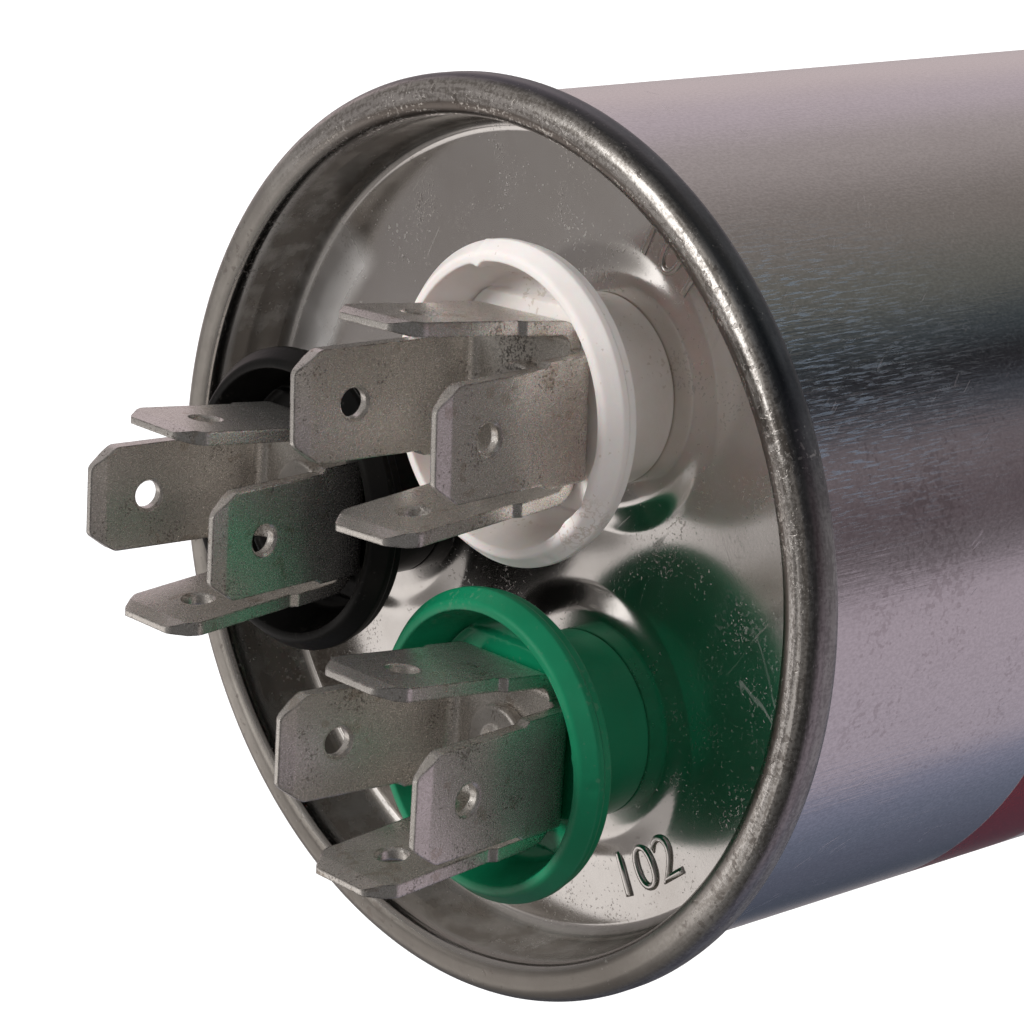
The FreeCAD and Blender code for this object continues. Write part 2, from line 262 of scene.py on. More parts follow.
def make_cover():
    cover = revolved(
        "cover_sheet", cover_line(), COVER_COLUMNS, reshape=with_bosses, closed=True
    )
    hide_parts("cover")
    return finished(cover, "cover_tinplate")


def make_can():
    """Drawn can: a closed section of flat bottom, rounded corner, wall and hook, revolved."""
    points = [
        (0.0, 0.0),
        (CAN_RADIUS, 0.0),
        (CAN_RADIUS, CAN_FLANGE),
        (CAN_HOOK_RADIUS, CAN_FLANGE),
        (CAN_HOOK_RADIUS, CAN_HOOK_END),
    ]
    outside = spaced(rounded_line(points, [2.2, 0.2, 0.2], 0.2), 3.0)
    outside[0, 0] = 0.0
    section = np.concatenate([outside, left_of(outside, SHEET)[::-1]])
    section[:, 0] = np.maximum(section[:, 0], 0.0)
    can = revolved("can_shell", section, CAN_COLUMNS, closed=True)
    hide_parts("can")
    return finished(can, "can_aluminium")


def dish_line():
    """Closed section of a moulded terminal: spigot, plain neck, sloping underside, stepped side,
    front ring, draughted recess and its floor. It starts and ends half way up the bore."""
    half_way = (STUD_BORE, 95.0)
    points = [
        half_way,
        (STUD_BORE, SPIGOT_END),
        (SPIGOT_RADIUS, SPIGOT_END),
        (SPIGOT_RADIUS, NECK_FOOT),
        (NECK_RADIUS, NECK_FOOT),
        (NECK_RADIUS, NECK_TOP),
        (DISH_SIDE_RADIUS, DISH_SIDE_FOOT),
        (DISH_SIDE_RADIUS, DISH_SIDE_TOP),
        (DISH_RADIUS, RING_FOOT),
        (DISH_RADIUS, DISH_FRONT - RING_SLOPE_DEPTH),
        (DISH_RADIUS - RING_SLOPE_WIDTH, DISH_FRONT),
        (DISH_INNER_RADIUS, DISH_FRONT),
        (DISH_FLOOR_RADIUS, DISH_FLOOR),
        (STUD_BORE, DISH_FLOOR),
        half_way,
    ]
    bends = [0.0, 0.0, 0.0, 0.15, 0.6, 0.1, 0.05, 0.1, 0.2, 0.4, 0.12, 0.6, 0.0]
    return spaced(rounded_line(points, bends, 0.07), 0.14)[:-1]


# Moulding faults: angle about the dish, half width in degrees, how far the edge is pushed out,
# and the radius of that edge
OUTER_EDGE = DISH_RADIUS
INNER_EDGE = DISH_INNER_RADIUS
DISH_FAULTS = {
    "white": [
        (15.9, 1.1, 0.22, OUTER_EDGE),
        (17.0, 2.2, -0.26, INNER_EDGE),
        (-106.0, 5.0, -0.12, INNER_EDGE),
        (-119.0, 3.0, 0.14, INNER_EDGE),
        (-131.0, 4.0, -0.14, INNER_EDGE),
        (-151.0, 2.2, -0.16, OUTER_EDGE),
        (168.0, 5.0, -0.06, OUTER_EDGE),
    ],
    "green": [
        (-88.7, 1.3, -0.2, OUTER_EDGE),
        (-84.5, 1.0, 0.1, OUTER_EDGE),
        (-77.0, 2.0, -0.08, INNER_EDGE),
        (100.0, 5.0, 0.05, OUTER_EDGE),
    ],
    "black": [(60.0, 4.0, 0.05, OUTER_EDGE), (190.0, 3.0, -0.06, OUTER_EDGE)],
}


def dish_shape(colour):
    """The recess floor rises to a square platform with rounded corners: the rise times a smooth
    step of (|x|^12 + |y|^12)^(1/12). Each moulding fault pushes an edge of the front ring out
    by its height times a bell curve of the angle and one of the distance from that edge. The
    ring also wanders inwards by up to 0.04 mm."""
    turn = math.radians(TERMINALS[colour][2])

    def reshape(x, y, z):
        across = np.abs(x * math.cos(turn) + y * math.sin(turn))
        along = np.abs(y * math.cos(turn) - x * math.sin(turn))
        corner = (across**12 + along**12) ** (1.0 / 12.0)
        radius = np.hypot(x, y)
        floor = (z > DISH_FLOOR - 0.02) & (z < DISH_FLOOR + 0.35) & (radius < 7.0)
        step = 1.0 - smooth_step(corner, PLATFORM_HALF - 0.12, PLATFORM_HALF + 0.1)
        z = z + np.where(floor, PLATFORM_RISE * step, 0.0)
        angle = np.degrees(np.arctan2(y, x))
        front = smooth_step(z, 100.7, 101.6)
        push = 0.02 * front * (np.sin(np.radians(angle) * 3.0 + 1.0) - 1.0)
        for place, width, height, edge in DISH_FAULTS[colour]:
            away = (angle - place + 180.0) % 360.0 - 180.0
            bell = np.exp(-((away / width) ** 2) - ((radius - edge) / 0.35) ** 2)
            push = push + front * height * bell
        scale = 1.0 + push / np.maximum(radius, 1.0)
        return x * scale, y * scale, z

    return reshape


def make_dish(colour):
    dish = revolved(
        "moulded_dish_" + colour,
        dish_line(),
        DISH_COLUMNS,
        centre=terminal_centre(colour),
        reshape=dish_shape(colour),
        closed=True,
    )
    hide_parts("insulator_" + colour)
    return finished(dish, "insulator_" + colour)


def make_stud_head(colour):
    """Riveted stud: a revolved section whose head has a rolled edge and a shallow hollow, the
    mark of the tool that spread it."""
    collar_foot, collar_top = STUD_COLLAR
    points = [
        (0.0, STUD_END),
        (STUD_RADIUS, STUD_END),
        (STUD_RADIUS, collar_foot),
        (STUD_COLLAR_RADIUS, collar_foot),
        (STUD_COLLAR_RADIUS, collar_top),
        (STUD_RADIUS, collar_top),
        (STUD_RADIUS, BASE_TOP),
        (STUD_HEAD_RADIUS, BASE_TOP),
        (STUD_HEAD_RADIUS - 0.1, STUD_HEAD_TOP),
        (1.2, STUD_HEAD_TOP),
        (0.7, STUD_HEAD_TOP - STUD_HOLLOW),
        (0.0, STUD_HEAD_TOP - STUD_HOLLOW),
    ]
    bends = [0.2, 0.0, 0.1, 0.1, 0.0, 0.0, 0.1, 0.3, 0.2, 0.2]
    line = spaced(rounded_line(points, bends, 0.06), 0.4)
    stud = revolved(
        "riveted_stud_" + colour, line, STUD_COLUMNS, centre=terminal_centre(colour)
    )
    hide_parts("stud_" + colour)
    return finished(stud, "stud_metal")


# New pieces

# Numbers pressed into the cover: text, distance from the axis, angle about it, height, and
# where its head points, 1 away from the axis and -1 towards it
NUMERALS = [
    ("101", 20.7, 332.0, 3.0, 1),
    ("102", 20.7, 213.0, 3.0, -1),
    ("103", 21.3, 90.0, 2.4, 1),
]
NUMERAL_RISE = 0.19
NUMERAL_THINNING = -0.14


def make_numeral(text, distance, angle, height, head):
    """A number with rounded edges, bent round the panel. Its mesh points (u, v, w) go to the
    radius distance + v, to the angle less u / distance, and to w above the panel; u and v
    change sign where its head points to the axis."""
    curve = bpy.data.curves.new("pressed_numeral_" + text, "FONT")
    curve.body = text
    curve.size = height * 1.3
    curve.align_x = "CENTER"
    curve.align_y = "CENTER"
    curve.extrude = 0.0
    curve.bevel_depth = NUMERAL_RISE
    curve.bevel_resolution = 3
    curve.offset = NUMERAL_THINNING
    source = bpy.data.objects.new("numeral_source", curve)
    bpy.context.scene.collection.objects.link(source)
    depsgraph = bpy.context.evaluated_depsgraph_get()
    mesh = bpy.data.meshes.new_from_object(source.evaluated_get(depsgraph))
    bpy.data.objects.remove(source)
    points = np.empty(len(mesh.vertices) * 3)
    mesh.vertices.foreach_get("co", points)
    u, v, w = points.reshape(-1, 3).T
    turned = math.radians(angle) - head * u / distance
    x = (distance + head * v) * np.cos(turned)
    y = (distance + head * v) * np.sin(turned)
    placed = np.stack([x, y, PANEL_TOP + w], 1) * MM
    mesh.vertices.foreach_set("co", placed.ravel())
    mesh.materials.clear()
    mesh.shade_smooth()
    mesh.set_sharp_from_angle(angle=math.radians(50))
    numeral = bpy.data.objects.new("pressed_numeral_" + text, mesh)
    bpy.context.scene.collection.objects.link(numeral)
    return finished(numeral, "cover_tinplate")


# Node trees


def put(tree, socket, value):
    """Link a socket to an output, or set its constant."""
    if isinstance(value, bpy.types.NodeSocket):
        tree.links.new(value, socket)
    else:
        socket.default_value = value


def computed(tree, operation, *values, clamp=False):
    node = tree.nodes.new("ShaderNodeMath")
    node.operation = operation
    node.use_clamp = clamp
    for socket, value in zip(node.inputs, values):
        put(tree, socket, value)
    return node.outputs[0]


def product(tree, first, second):
    return computed(tree, "MULTIPLY", first, second)


def total(tree, first, second):
    return computed(tree, "ADD", first, second)


def ranged(tree, value, low, high, to_low=0.0, to_high=1.0):
    """A smooth step of a value, from to_low at low to to_high at high."""
    node = tree.nodes.new("ShaderNodeMapRange")
    node.interpolation_type = "SMOOTHSTEP"
    for socket, number in zip(node.inputs, (value, low, high, to_low, to_high)):
        put(tree, socket, number)
    return node.outputs[0]


def band_mask(tree, value, low, high, soft):
    """1 where a value lies between low and high, with an edge as wide as soft on both sides."""
    rising = ranged(tree, value, low - soft / 2.0, low + soft / 2.0)
    falling = ranged(tree, value, high - soft / 2.0, high + soft / 2.0, 1.0, 0.0)
    return product(tree, rising, falling)


def mixed(tree, factor, first, second):
    node = tree.nodes.new("ShaderNodeMix")
    node.data_type = "RGBA"
    put(tree, node.inputs["Factor"], factor)
    put(tree, node.inputs["A"], colour_value(first))
    put(tree, node.inputs["B"], colour_value(second))
    return node.outputs["Result"]


def colour_value(value):
    if isinstance(value, bpy.types.NodeSocket):
        return value
    return (*value, 1.0)


def object_place(tree):
    return tree.nodes.new("ShaderNodeTexCoord").outputs["Object"]


def noise(tree, vector, scale, detail=4.0, roughness=0.55):
    node = tree.nodes.new("ShaderNodeTexNoise")
    put(tree, node.inputs["Vector"], vector)
    put(tree, node.inputs["Scale"], scale)
    put(tree, node.inputs["Detail"], detail)
    node.inputs["Roughness"].default_value = roughness
    return node.outputs["Fac"]


def times(tree, vector, factors):
    node = tree.nodes.new("ShaderNodeVectorMath")
    node.operation = "MULTIPLY"
    put(tree, node.inputs[0], vector)
    put(tree, node.inputs[1], factors)
    return node.outputs[0]


def together(tree, x, y, z):
    node = tree.nodes.new("ShaderNodeCombineXYZ")
    for socket, value in zip(node.inputs, (x, y, z)):
        put(tree, socket, value)
    return node.outputs[0]


def apart(tree, vector):
    node = tree.nodes.new("ShaderNodeSeparateXYZ")
    put(tree, node.inputs[0], vector)
    return node.outputs


def shared(name, inputs, outputs):
    """A new node group with float inputs (and their values) and float outputs."""
    group = bpy.data.node_groups.new(name, "ShaderNodeTree")
    for label, value in inputs.items():
        socket = group.interface.new_socket(label, in_out="INPUT", socket_type="NodeSocketFloat")
        socket.default_value = value
    for label in outputs:
        group.interface.new_socket(label, in_out="OUTPUT", socket_type="NodeSocketFloat")
    given = group.nodes.new("NodeGroupInput").outputs
    result = group.nodes.new("NodeGroupOutput").inputs
    return group, given, result


def use(tree, group, **values):
    node = tree.nodes.new("ShaderNodeGroup")
    node.node_tree = group
    for label, value in values.items():
        put(tree, node.inputs[label], value)
    return node.outputs


def near_point(tree, point, reach):
    """1 close to a point given in mm, falling smoothly to 0 at the reach, also in mm."""
    node = tree.nodes.new("ShaderNodeVectorMath")
    node.operation = "DISTANCE"
    put(tree, node.inputs[0], object_place(tree))
    put(tree, node.inputs[1], [c * MM for c in point])
    return ranged(tree, node.outputs["Value"], 0.3 * reach * MM, reach * MM, 1.0, 0.0)


def build_grain():
    """Noise in object coordinates, with one scale across the can and one along its axis. A
    fine grain needs few octaves, because the smaller ones can't be seen."""
    given_values = {"Across": 1000.0, "Along": 1000.0, "Detail": 2.0}
    group, given, result = shared("grain", given_values, ["Tone"])
    scales = together(group, given["Across"], given["Across"], given["Along"])
    tone = noise(group, times(group, object_place(group), scales), 1.0, given["Detail"], 0.6)
    put(group, result["Tone"], tone)
    return group


def build_specks():
    """Small spots: where fine noise passes a limit, gathered where coarse noise is high."""
    group, given, result = shared("specks", {"Scale": 2500.0, "Limit": 0.68, "Crowd": 0.5}, ["Mask"])
    place = object_place(group)
    fine = noise(group, place, given["Scale"], 2.0, 0.5)
    crowd = noise(group, place, product(group, given["Scale"], 0.06), 2.0)
    lift = product(group, computed(group, "SUBTRACT", crowd, 0.5), given["Crowd"])
    value = total(group, fine, lift)
    full = total(group, given["Limit"], 0.05)
    put(group, result["Mask"], ranged(group, value, given["Limit"], full))
    return group


def build_scratches():
    """Thin lines: noise in turned coordinates, squeezed along two axes, kept in a narrow range
    of its value and broken up by coarse noise."""
    group, given, result = shared("scratches", {"Scale": 1200.0, "Turn": 0.5, "Limit": 0.6}, ["Mask"])
    turned = group.nodes.new("ShaderNodeVectorRotate")
    turned.rotation_type = "EULER_XYZ"
    put(group, turned.inputs["Vector"], object_place(group))
    angles = together(
        group,
        given["Turn"],
        product(group, given["Turn"], 1.7),
        product(group, given["Turn"], 0.6),
    )
    put(group, turned.inputs["Rotation"], angles)
    squeezed = times(group, turned.outputs[0], (1.0, 0.07, 0.07))
    line = noise(group, squeezed, given["Scale"], 2.0, 0.4)
    off_centre = computed(group, "ABSOLUTE", computed(group, "SUBTRACT", line, 0.5))
    thin = ranged(group, off_centre, 0.004, 0.012, 1.0, 0.0)
    broken = noise(group, turned.outputs[0], product(group, given["Scale"], 0.22), 2.0)
    patch = ranged(group, broken, given["Limit"], total(group, given["Limit"], 0.06))
    put(group, result["Mask"], product(group, thin, patch))
    return group


def build_place():
    """Distance from the can's axis and height, in mm, and the angle about the axis in degrees."""
    group, given, result = shared("place_on_can", {}, ["Radius", "Height", "Angle"])
    x, y, z = apart(group, object_place(group))
    squares = total(group, product(group, x, x), product(group, y, y))
    flat = computed(group, "SQRT", squares)
    put(group, result["Radius"], product(group, flat, 1000.0))
    put(group, result["Height"], product(group, z, 1000.0))
    put(group, result["Angle"], computed(group, "DEGREES", computed(group, "ARCTAN2", y, x)))
    return group


def build_edges():
    """Mask of edges: how far the normal, rounded over a small radius, leans from the true one.
    The rounded normal is given as well."""
    group, given, result = shared("rounded_edges", {"Radius": 0.0002}, ["Mask"])
    group.interface.new_socket("Normal", in_out="OUTPUT", socket_type="NodeSocketVector")
    rounded = group.nodes.new("ShaderNodeBevel")
    rounded.samples = 4
    put(group, rounded.inputs["Radius"], given["Radius"])
    compare = group.nodes.new("ShaderNodeVectorMath")
    compare.operation = "DOT_PRODUCT"
    put(group, compare.inputs[0], rounded.outputs[0])
    put(group, compare.inputs[1], group.nodes.new("ShaderNodeNewGeometry").outputs["Normal"])
    put(group, result["Mask"], ranged(group, compare.outputs["Value"], 0.99, 0.85))
    put(group, result["Normal"], rounded.outputs[0])
    return group


GRAIN = build_grain()
SPECKS = build_specks()
SCRATCHES = build_scratches()
PLACE = build_place()
EDGES = build_edges()

FINISHES = {}


def finished(piece, finish):
    """Give a piece its material and let it ride on the one body."""
    piece.data.materials.clear()
    piece.data.materials.append(FINISHES[finish])
    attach(piece, "root")
    return piece


def new_finish(name, **constants):
    """A material with constants set on its shader; returns its tree and the shader's sockets."""
    material = bpy.data.materials.new(name + "_look")
    material.use_nodes = True
    FINISHES[name] = material
    shader = material.node_tree.nodes["Principled BSDF"]
    for label, value in constants.items():
        shader.inputs[label.replace("_", " ")].default_value = value
    return material.node_tree, shader.inputs


def bumped(tree, height, distance, strength=1.0, normal=None):
    """Normal from a height of 0 to 1, with its depth in metres."""
    node = tree.nodes.new("ShaderNodeBump")
    node.inputs["Strength"].default_value = strength
    node.inputs["Distance"].default_value = distance
    put(tree, node.inputs["Height"], height)
    if normal:
        put(tree, node.inputs["Normal"], normal)
    return node.outputs["Normal"]


# Materials

# Printed field: heights in mm, angles about the axis in degrees, and its margins round the
# bare window
PRINT_TOP = 73.4
PRINT_BOTTOM = 24.0
PRINT_MIDDLE = -165.0
PRINT_HALF = 62.0
WINDOW_SIDE = 16.0
WINDOW_BELOW = 7.0
WINDOW_ABOVE = 9.0


def can_finish():
    """Drawn aluminium: a satin grain under soft clouds, fine lines along the can, thin scratches
    that gather near the seam, small scuffs at one place, bluish streaks at another that are the
    painted sheen of scratches catching light, and a plain red printed field with a bare window."""
    tree, shader = new_finish("can_aluminium")
    place = use(tree, PLACE)
    satin = use(tree, GRAIN, Across=6500.0, Along=4000.0)["Tone"]
    drawn = use(tree, GRAIN, Across=6000.0, Along=260.0, Detail=4.0)["Tone"]
    cloud = use(tree, GRAIN, Across=260.0, Along=110.0, Detail=4.0)["Tone"]
    patch = use(tree, GRAIN, Across=130.0, Along=70.0, Detail=4.0)["Tone"]
    near_seam = ranged(tree, place["Height"], 58.0, 92.0)
    worn = product(tree, ranged(tree, patch, 0.42, 0.62), near_seam)
    lines = use(tree, SCRATCHES, Scale=1500.0, Turn=0.35, Limit=0.60)["Mask"]
    crossing = use(tree, SCRATCHES, Scale=700.0, Turn=1.2, Limit=0.66)["Mask"]
    scratches = product(tree, computed(tree, "MAXIMUM", lines, crossing), near_seam)
    rubbed = product(tree, ranged(tree, drawn, 0.54, 0.66), worn)
    fine = use(tree, GRAIN, Across=9500.0, Along=700.0)["Tone"]
    scratch_sheen_place = product(
        tree,
        band_mask(tree, place["Angle"], -75.0, -38.0, 14.0),
        ranged(tree, place["Height"], 74.0, 95.0),
    )
    scratch_sheen_streaks = product(tree, ranged(tree, fine, 0.52, 0.62), scratch_sheen_place)
    scuffed = product(
        tree,
        band_mask(tree, place["Angle"], -112.0, -62.0, 6.0),
        band_mask(tree, place["Height"], 78.0, 93.0, 3.0),
    )
    scraped = use(tree, SPECKS, Scale=2600.0, Limit=0.64, Crowd=1.0)["Mask"]
    scuffs = product(tree, scraped, scuffed)

    metal = mixed(tree, ranged(tree, satin, 0.3, 0.7), (0.73, 0.72, 0.72), (0.88, 0.87, 0.87))
    metal = mixed(tree, product(tree, ranged(tree, cloud, 0.5, 0.75), 0.2), metal, (0.70, 0.67, 0.68))
    metal = mixed(tree, product(tree, scuffs, 0.35), metal, (0.42, 0.38, 0.38))
    metal = mixed(tree, product(tree, scratches, 0.5), metal, (0.97, 0.97, 0.97))
    # Painted sheen: the bluish light that scratches catch in this band, painted into their colour.
    metal = mixed(tree, product(tree, scratch_sheen_streaks, 0.7), metal, (0.42, 0.56, 0.74))

    printed = print_mask(tree, place)
    ink = mixed(tree, ranged(tree, satin, 0.3, 0.7), (0.15, 0.004, 0.008), (0.20, 0.006, 0.011))
    put(tree, shader["Base Color"], mixed(tree, printed, metal, ink))
    dull = total(tree, printed, product(tree, scratch_sheen_streaks, 0.2))
    put(tree, shader["Metallic"], computed(tree, "SUBTRACT", 1.0, dull, clamp=True))
    rough = total(tree, 0.10, product(tree, satin, 0.12))
    rough = total(tree, rough, product(tree, rubbed, 0.16))
    rough = total(tree, rough, product(tree, scratches, 0.15))
    put(tree, shader["Roughness"], total(tree, rough, product(tree, printed, 0.08)))
    height = product(tree, drawn, total(tree, 0.25, worn))
    height = total(tree, height, product(tree, satin, 0.3))
    height = computed(tree, "SUBTRACT", height, product(tree, scratches, 0.6))
    put(tree, shader["Normal"], bumped(tree, height, 0.000012))


def print_mask(tree, place):
    """1 on the printed field: inside its height range and angle range, but outside a window in
    its middle, each with a soft edge of 0.2 mm or so."""
    turned = total(tree, place["Angle"], -PRINT_MIDDLE + 540.0)
    wrapped = computed(tree, "MODULO", turned, 360.0)
    aside = computed(tree, "ABSOLUTE", computed(tree, "SUBTRACT", wrapped, 180.0))

    def frame_mask(half_angle, bottom, top):
        sides = ranged(tree, aside, half_angle, half_angle + 0.4, 1.0, 0.0)
        low = ranged(tree, place["Height"], bottom - 0.1, bottom + 0.1)
        high = ranged(tree, place["Height"], top - 0.1, top + 0.1, 1.0, 0.0)
        return product(tree, product(tree, sides, low), high)

    whole = frame_mask(PRINT_HALF, PRINT_BOTTOM, PRINT_TOP)
    window = frame_mask(
        PRINT_HALF - WINDOW_SIDE, PRINT_BOTTOM + WINDOW_BELOW, PRINT_TOP - WINDOW_ABOVE
    )
    outside = ranged(tree, place["Radius"], 25.2, 25.3)
    return product(tree, computed(tree, "SUBTRACT", whole, window, clamp=True), outside)


def cover_finish():
    """Tinned steel: a bright panel with fine pits and dust, scratched at one place and hazed at
    another, where the haze's scattered light is a painted reflection of the chuck wall, a wall
    dulled by an oily film, a crest painted pale where its highlight falls (painted highlight)
    with grime along its inner edge there, a crest that darkens from 125 to 150 degrees either side
    of +X and stays darker beyond, and a dull flank where the seaming rolls pressed, darker on one
    side by painted shade."""
    tree, shader = new_finish("cover_tinplate")
    place = use(tree, PLACE)
    grain = use(tree, GRAIN, Across=4800.0, Along=4800.0)["Tone"]
    cloud = use(tree, GRAIN, Across=170.0, Along=170.0, Detail=4.0)["Tone"]
    smear = use(tree, GRAIN, Across=520.0, Along=520.0, Detail=4.0)["Tone"]
    round_seam = together(
        tree,
        product(tree, place["Angle"], 0.22),
        product(tree, place["Radius"], 4.0),
        product(tree, place["Height"], 4.0),
    )
    rings = noise(tree, round_seam, 1.0, 4.0)
    seam_ring_tone = product(tree, total(tree, rings, grain), 0.5)
    pits = use(tree, SPECKS, Scale=5200.0, Limit=0.68, Crowd=0.6)["Mask"]
    dust = use(tree, SPECKS, Scale=3800.0, Limit=0.76, Crowd=0.8)["Mask"]
    lines = use(tree, SCRATCHES, Scale=1100.0, Turn=0.8, Limit=0.62)["Mask"]
    rubs = use(tree, SCRATCHES, Scale=650.0, Turn=2.1, Limit=0.46)["Mask"]
    crumbs = use(tree, SPECKS, Scale=4200.0, Limit=0.63, Crowd=0.5)["Mask"]
    rubbed = product(
        tree,
        band_mask(tree, place["Angle"], -112.0, -78.0, 12.0),
        band_mask(tree, place["Radius"], 15.5, 21.5, 2.5),
    )
    rubs = product(tree, computed(tree, "MAXIMUM", rubs, crumbs), rubbed)

    on_flank = product(
        tree,
        ranged(tree, place["Radius"], 26.15, 26.55),
        ranged(tree, place["Height"], 98.3, 97.8),
    )
    on_seam = ranged(tree, place["Radius"], 24.6, 25.0)
    inner_side = band_mask(tree, place["Radius"], 24.4, 25.4, 0.3)
    # Side of the crest where its highlight falls; the crest's pale colour there is a painted highlight.
    painted_highlight_side = band_mask(tree, place["Angle"], -125.0, 38.0, 40.0)
    grime = product(
        tree,
        product(tree, inner_side, ranged(tree, place["Height"], 96.6, 97.6)),
        product(tree, ranged(tree, seam_ring_tone, 0.37, 0.48), painted_highlight_side),
    )
    on_wall = product(
        tree,
        ranged(tree, place["Radius"], 23.4, 24.1),
        ranged(tree, place["Height"], 97.6, 96.8),
    )
    knocks = use(tree, SPECKS, Scale=1900.0, Limit=0.66, Crowd=0.9)["Mask"]
    bruises = product(tree, knocks, on_seam)

    panel = mixed(tree, ranged(tree, cloud, 0.35, 0.7), (0.80, 0.775, 0.755), (0.73, 0.70, 0.675))
    panel = mixed(tree, product(tree, pits, 0.3), panel, (0.34, 0.31, 0.28))
    wall = mixed(tree, ranged(tree, smear, 0.35, 0.6), (0.48, 0.45, 0.415), (0.27, 0.24, 0.21))
    bright = mixed(tree, ranged(tree, seam_ring_tone, 0.40, 0.56), (0.52, 0.49, 0.46), (0.94, 0.91, 0.88))
    seam = mixed(tree, ranged(tree, smear, 0.3, 0.7), (0.50, 0.47, 0.43), (0.40, 0.37, 0.34))
    # The crest darkens from 125 to 150 degrees either side of +X and stays darker beyond.
    darker_crest_part = ranged(tree, computed(tree, "ABSOLUTE", place["Angle"]), 125.0, 150.0)
    seam = mixed(tree, product(tree, darker_crest_part, 0.75), seam, (0.22, 0.20, 0.18))
    # Painted highlight: the crest is pale on the side where its highlight falls.
    seam = mixed(tree, painted_highlight_side, seam, bright)
    seam = mixed(tree, product(tree, bruises, 0.5), seam, (0.22, 0.19, 0.17))
    flank = mixed(tree, ranged(tree, seam_ring_tone, 0.40, 0.60), (0.25, 0.24, 0.235), (0.38, 0.37, 0.36))
    # Painted shade: the flank is darkened on this side, as the dark surroundings it mirrors there make it
    # look.
    shaded = band_mask(tree, place["Angle"], -68.0, 25.0, 22.0)
    flank = mixed(tree, product(tree, shaded, 0.85), flank, (0.085, 0.095, 0.11))
    panel = mixed(tree, product(tree, rubs, 0.4), panel, (0.55, 0.53, 0.48))
    tone = mixed(tree, on_wall, panel, wall)
    tone = mixed(tree, on_seam, tone, seam)
    tone = mixed(tree, on_flank, tone, flank)
    tone = mixed(tree, product(tree, grime, 0.9), tone, (0.13, 0.105, 0.09))
    tone = mixed(tree, product(tree, dust, 0.4), tone, (0.85, 0.83, 0.80))
    put(tree, shader["Base Color"], tone)
    film = product(tree, on_wall, ranged(tree, smear, 0.35, 0.65, 0.20, 0.32))
    film = total(tree, film, product(tree, rubs, 0.15))
    # Painted reflection: a dull film on this band scatters light that stands in for the lit chuck wall
    # mirrored here.
    painted_reflection_haze = product(
        tree,
        band_mask(tree, place["Angle"], 50.0, 106.0, 6.0),
        band_mask(tree, place["Radius"], 20.2, 23.8, 1.4),
    )
    painted_reflection_haze = product(tree, painted_reflection_haze, ranged(tree, smear, 0.3, 0.6, 1.0, 0.7))
    film = total(tree, film, product(tree, painted_reflection_haze, 0.5))
    dull_crest_side = product(tree, on_seam, ranged(tree, painted_highlight_side, 0.0, 1.0, 1.0, 0.0))
    film = total(tree, film, product(tree, dull_crest_side, 0.12))
    put(tree, shader["Metallic"], computed(tree, "SUBTRACT", 1.0, film, clamp=True))

    rough = total(tree, 0.12, product(tree, cloud, 0.06))
    rough = total(tree, rough, product(tree, on_wall, 0.10))
    rough = total(tree, rough, product(tree, painted_reflection_haze, 0.2))
    rough = total(tree, rough, product(tree, dull_crest_side, 0.18))
    rough = total(tree, rough, product(tree, on_flank, 0.14))
    rough = total(tree, rough, product(tree, grime, 0.2))
    rough = total(tree, rough, product(tree, dust, 0.25))
    put(tree, shader["Roughness"], total(tree, rough, product(tree, lines, 0.12)))
    grained = product(tree, grain, ranged(tree, on_seam, 0.0, 1.0, 0.2, 0.9))
    height = computed(tree, "SUBTRACT", grained, pits)
    ridged = product(tree, rings, product(tree, on_seam, painted_highlight_side))
    height = total(tree, height, product(tree, ridged, 0.25))
    height = computed(tree, "SUBTRACT", height, bruises)
    put(tree, shader["Normal"], bumped(tree, height, 0.000006))


# Where the white dish has a stained crease, in mm
CREASE = (5.3, -11.8, 101.4)


def moulded_finish(name, light, dark, stain_and_shade_tone, roughness, neck_shade=0.0, **constants):
    """Moulded plastic: soft clouds of two tones, stains and dust in specks, a stained crease at
    one place, painted shade that deepens down the neck in the stain's tone, a slightly uneven
    gloss, and edges a little paler where they are rubbed."""
    tree, shader = new_finish(name, **constants)
    cloud = use(tree, GRAIN, Across=220.0, Along=220.0, Detail=4.0)["Tone"]
    grain = use(tree, GRAIN, Across=4200.0, Along=4200.0)["Tone"]
    spots = use(tree, SPECKS, Scale=2600.0, Limit=0.70, Crowd=0.6)["Mask"]
    edges, rounded = use(tree, EDGES, Radius=0.00015)
    tone = mixed(tree, ranged(tree, cloud, 0.3, 0.7), light, dark)
    tone = mixed(tree, product(tree, spots, 0.45), tone, stain_and_shade_tone)
    vein = use(tree, GRAIN, Across=750.0, Along=750.0, Detail=4.0)["Tone"]
    off_centre = computed(tree, "ABSOLUTE", computed(tree, "SUBTRACT", vein, 0.5))
    thin = ranged(tree, off_centre, 0.006, 0.03, 1.0, 0.0)
    crease = product(tree, near_point(tree, CREASE, 3.0), thin)
    tone = mixed(tree, product(tree, crease, 0.6), tone, stain_and_shade_tone)
    # Painted shade: the neck under the dish darkens downwards, in the stain's tone.
    painted_neck_shade = ranged(tree, use(tree, PLACE)["Height"], 98.2, 95.6, 0.0, neck_shade)
    tone = mixed(tree, product(tree, painted_neck_shade, ranged(tree, cloud, 0.3, 0.7, 0.8, 1.0)), tone, stain_and_shade_tone)
    pale = tuple(0.8 * c + 0.12 for c in light)
    tone = mixed(tree, product(tree, edges, 0.2), tone, pale)
    put(tree, shader["Base Color"], tone)
    rough = total(tree, roughness, product(tree, cloud, 0.12))
    put(tree, shader["Roughness"], total(tree, rough, product(tree, spots, 0.25)))
    height = total(tree, product(tree, grain, 0.5), cloud)
    put(tree, shader["Normal"], bumped(tree, height, 0.00002, normal=rounded))


# Share of light that the film scatters, and where a dark smudge and a rust stain are, in mm
DULL_FILM = 0.095
SMUDGE = (12.5, -4.9, 100.2)
RUST = (15.7, -6.6, 106.1)


